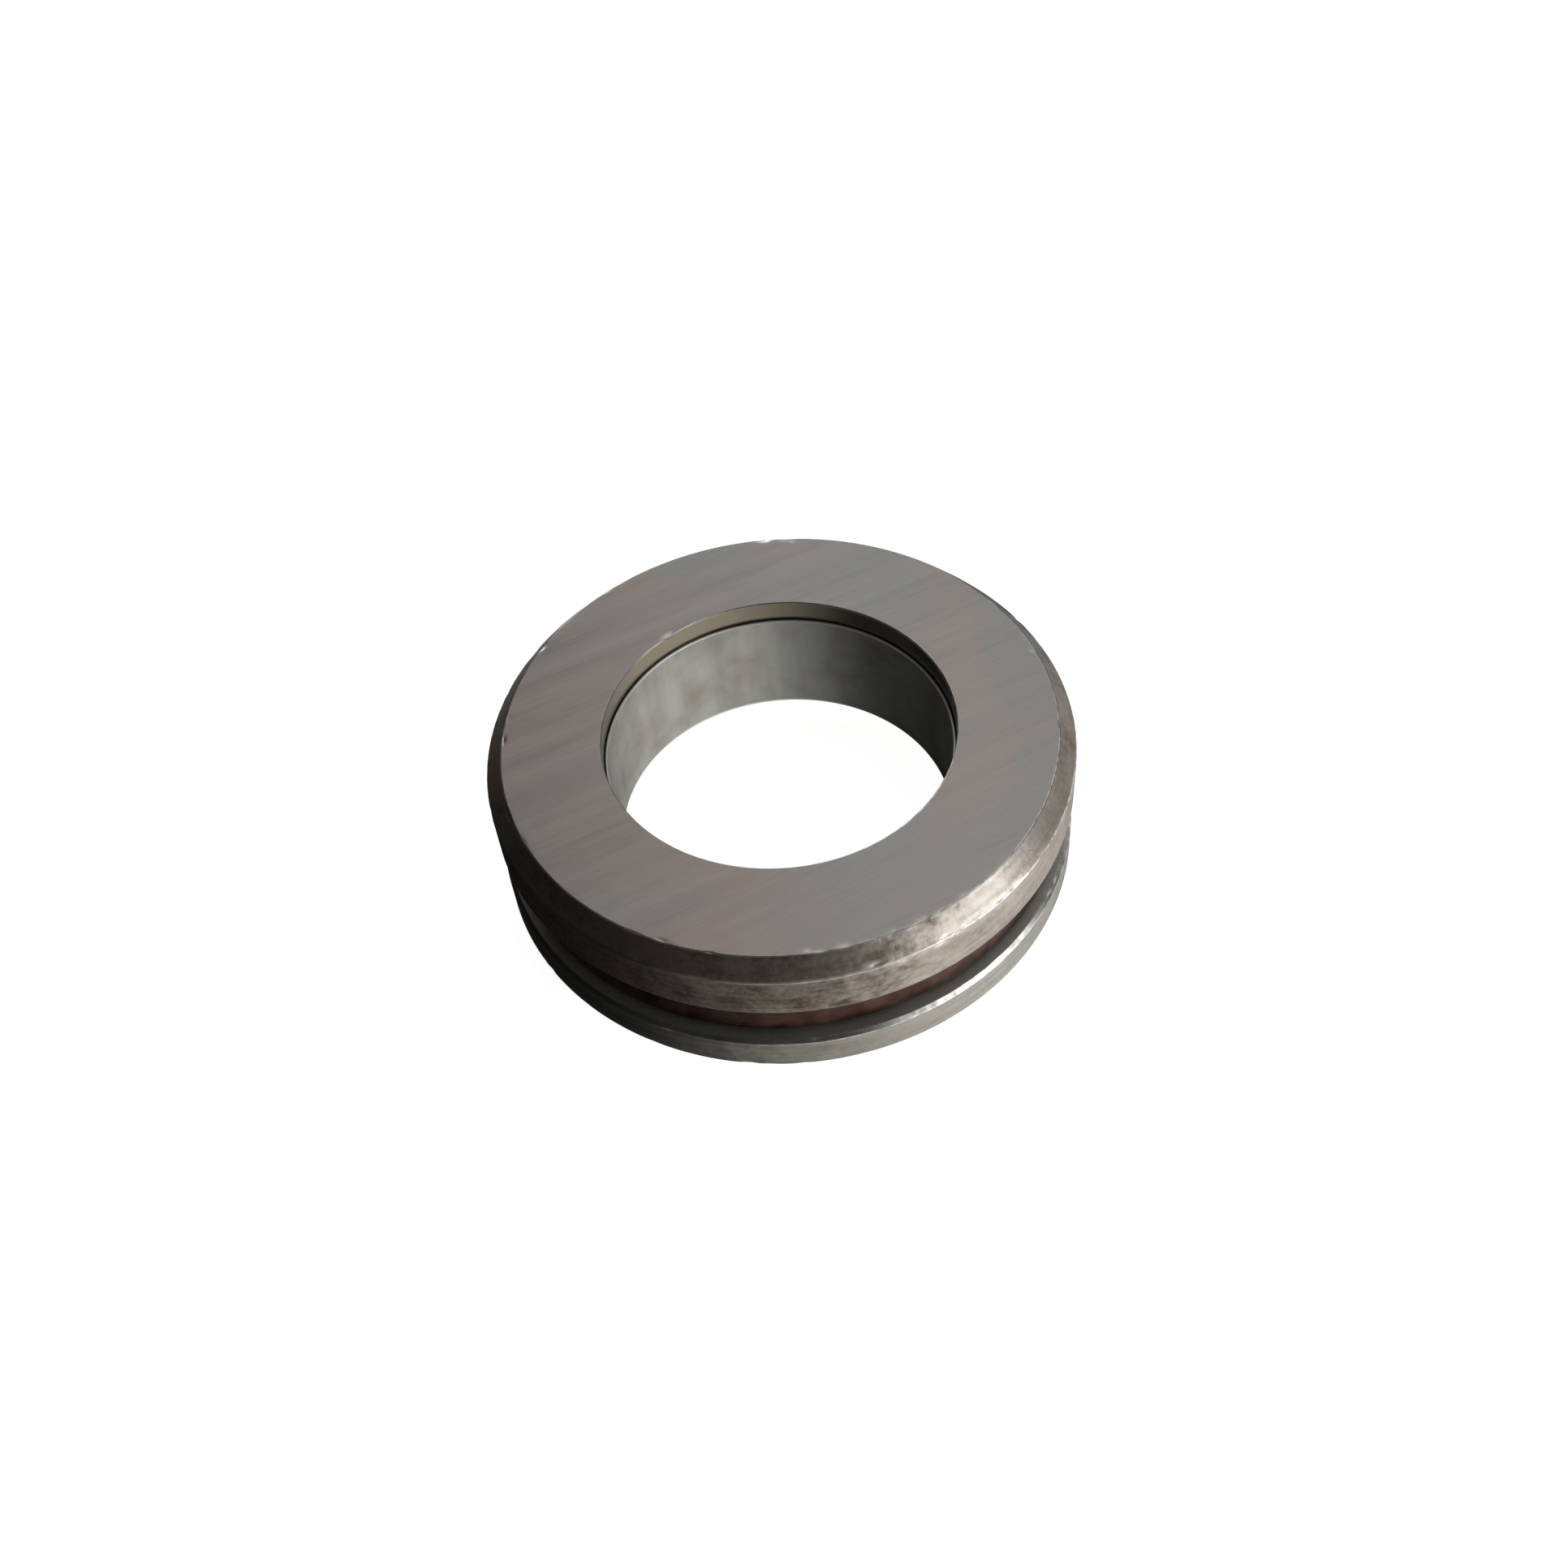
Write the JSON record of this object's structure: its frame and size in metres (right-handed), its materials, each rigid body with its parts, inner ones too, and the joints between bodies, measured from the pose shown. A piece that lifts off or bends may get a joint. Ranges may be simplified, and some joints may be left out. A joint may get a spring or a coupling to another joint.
{
  "type": "thrust ball bearing",
  "caption": "Single-direction thrust ball bearing: two grooved steel washers with a caged ball set between them and a thin locating sleeve in the bore.",
  "frame": {"origin": "centre of the lower washer's bottom face, on the bearing axis", "axes": "+Z along the bearing axis, from the lower washer to the upper washer; +X through the centre of ball_01"},
  "size_m": [0.068, 0.068, 0.019],
  "materials": {
    "washer_steel": "ground and oiled bearing steel, turned and scaled on the outer rims",
    "sleeve_steel": "smooth satin drawn steel",
    "cage_steel": "dark oily pressed steel",
    "ball_steel": "polished"
  },
  "bodies": {
    "lower_washer_set": {"lower_washer": "washer_steel", "sleeve": "sleeve_steel"},
    "upper_washer": {"upper_washer": "washer_steel"},
    "cage": {"cage": "cage_steel"},
    "ball_01": {"ball_01": "ball_steel"},
    "ball_02": {"ball_02": "ball_steel"},
    "ball_03": {"ball_03": "ball_steel"},
    "ball_04": {"ball_04": "ball_steel"},
    "ball_05": {"ball_05": "ball_steel"},
    "ball_06": {"ball_06": "ball_steel"},
    "ball_07": {"ball_07": "ball_steel"},
    "ball_08": {"ball_08": "ball_steel"},
    "ball_09": {"ball_09": "ball_steel"},
    "ball_10": {"ball_10": "ball_steel"},
    "ball_11": {"ball_11": "ball_steel"},
    "ball_12": {"ball_12": "ball_steel"},
    "ball_13": {"ball_13": "ball_steel"},
    "ball_14": {"ball_14": "ball_steel"},
    "ball_15": {"ball_15": "ball_steel"},
    "ball_16": {"ball_16": "ball_steel"}
  },
  "joints": [
    {"name": "upper_washer_turn", "type": "hinge", "parent": "lower_washer_set", "child": "upper_washer", "pos_m": [0, 0, 0.015], "axis": [0, 0, 1], "continuous": true},
    {"name": "cage_turn", "type": "hinge", "parent": "lower_washer_set", "child": "cage", "pos_m": [0, 0, 0.00829], "axis": [0, 0, 1], "continuous": true},
    {"name": "ball_01_roll", "type": "hinge", "parent": "cage", "child": "ball_01", "pos_m": [0.027, 0, 0.00829], "axis": [1, 0, 0], "continuous": true},
    {"name": "ball_02_roll", "type": "hinge", "parent": "cage", "child": "ball_02", "pos_m": [0.02494, 0.01033, 0.00829], "axis": [0.9239, 0.3827, 0], "continuous": true},
    {"name": "ball_03_roll", "type": "hinge", "parent": "cage", "child": "ball_03", "pos_m": [0.01909, 0.01909, 0.00829], "axis": [0.7071, 0.7071, 0], "continuous": true},
    {"name": "ball_04_roll", "type": "hinge", "parent": "cage", "child": "ball_04", "pos_m": [0.01033, 0.02494, 0.00829], "axis": [0.3827, 0.9239, 0], "continuous": true},
    {"name": "ball_05_roll", "type": "hinge", "parent": "cage", "child": "ball_05", "pos_m": [0, 0.027, 0.00829], "axis": [0, 1, 0], "continuous": true},
    {"name": "ball_06_roll", "type": "hinge", "parent": "cage", "child": "ball_06", "pos_m": [-0.01033, 0.02494, 0.00829], "axis": [-0.3827, 0.9239, 0], "continuous": true},
    {"name": "ball_07_roll", "type": "hinge", "parent": "cage", "child": "ball_07", "pos_m": [-0.01909, 0.01909, 0.00829], "axis": [-0.7071, 0.7071, 0], "continuous": true},
    {"name": "ball_08_roll", "type": "hinge", "parent": "cage", "child": "ball_08", "pos_m": [-0.02494, 0.01033, 0.00829], "axis": [-0.9239, 0.3827, 0], "continuous": true},
    {"name": "ball_09_roll", "type": "hinge", "parent": "cage", "child": "ball_09", "pos_m": [-0.027, 0, 0.00829], "axis": [-1, 0, 0], "continuous": true},
    {"name": "ball_10_roll", "type": "hinge", "parent": "cage", "child": "ball_10", "pos_m": [-0.02494, -0.01033, 0.00829], "axis": [-0.9239, -0.3827, 0], "continuous": true},
    {"name": "ball_11_roll", "type": "hinge", "parent": "cage", "child": "ball_11", "pos_m": [-0.01909, -0.01909, 0.00829], "axis": [-0.7071, -0.7071, 0], "continuous": true},
    {"name": "ball_12_roll", "type": "hinge", "parent": "cage", "child": "ball_12", "pos_m": [-0.01033, -0.02494, 0.00829], "axis": [-0.3827, -0.9239, 0], "continuous": true},
    {"name": "ball_13_roll", "type": "hinge", "parent": "cage", "child": "ball_13", "pos_m": [0, -0.027, 0.00829], "axis": [0, -1, 0], "continuous": true},
    {"name": "ball_14_roll", "type": "hinge", "parent": "cage", "child": "ball_14", "pos_m": [0.01033, -0.02494, 0.00829], "axis": [0.3827, -0.9239, 0], "continuous": true},
    {"name": "ball_15_roll", "type": "hinge", "parent": "cage", "child": "ball_15", "pos_m": [0.01909, -0.01909, 0.00829], "axis": [0.7071, -0.7071, 0], "continuous": true},
    {"name": "ball_16_roll", "type": "hinge", "parent": "cage", "child": "ball_16", "pos_m": [0.02494, -0.01033, 0.00829], "axis": [0.9239, -0.3827, 0], "continuous": true}
  ],
  "couplings": [
    {"joint": "cage_turn", "follows": "upper_washer_turn", "ratio": 0.5},
    {"joint": "ball_01_roll", "follows": "upper_washer_turn", "ratio": -3.0924},
    {"joint": "ball_02_roll", "follows": "upper_washer_turn", "ratio": -3.0924},
    {"joint": "ball_03_roll", "follows": "upper_washer_turn", "ratio": -3.0924},
    {"joint": "ball_04_roll", "follows": "upper_washer_turn", "ratio": -3.0924},
    {"joint": "ball_05_roll", "follows": "upper_washer_turn", "ratio": -3.0924},
    {"joint": "ball_06_roll", "follows": "upper_washer_turn", "ratio": -3.0924},
    {"joint": "ball_07_roll", "follows": "upper_washer_turn", "ratio": -3.0924},
    {"joint": "ball_08_roll", "follows": "upper_washer_turn", "ratio": -3.0924},
    {"joint": "ball_09_roll", "follows": "upper_washer_turn", "ratio": -3.0924},
    {"joint": "ball_10_roll", "follows": "upper_washer_turn", "ratio": -3.0924},
    {"joint": "ball_11_roll", "follows": "upper_washer_turn", "ratio": -3.0924},
    {"joint": "ball_12_roll", "follows": "upper_washer_turn", "ratio": -3.0924},
    {"joint": "ball_13_roll", "follows": "upper_washer_turn", "ratio": -3.0924},
    {"joint": "ball_14_roll", "follows": "upper_washer_turn", "ratio": -3.0924},
    {"joint": "ball_15_roll", "follows": "upper_washer_turn", "ratio": -3.0924},
    {"joint": "ball_16_roll", "follows": "upper_washer_turn", "ratio": -3.0924}
  ]
}
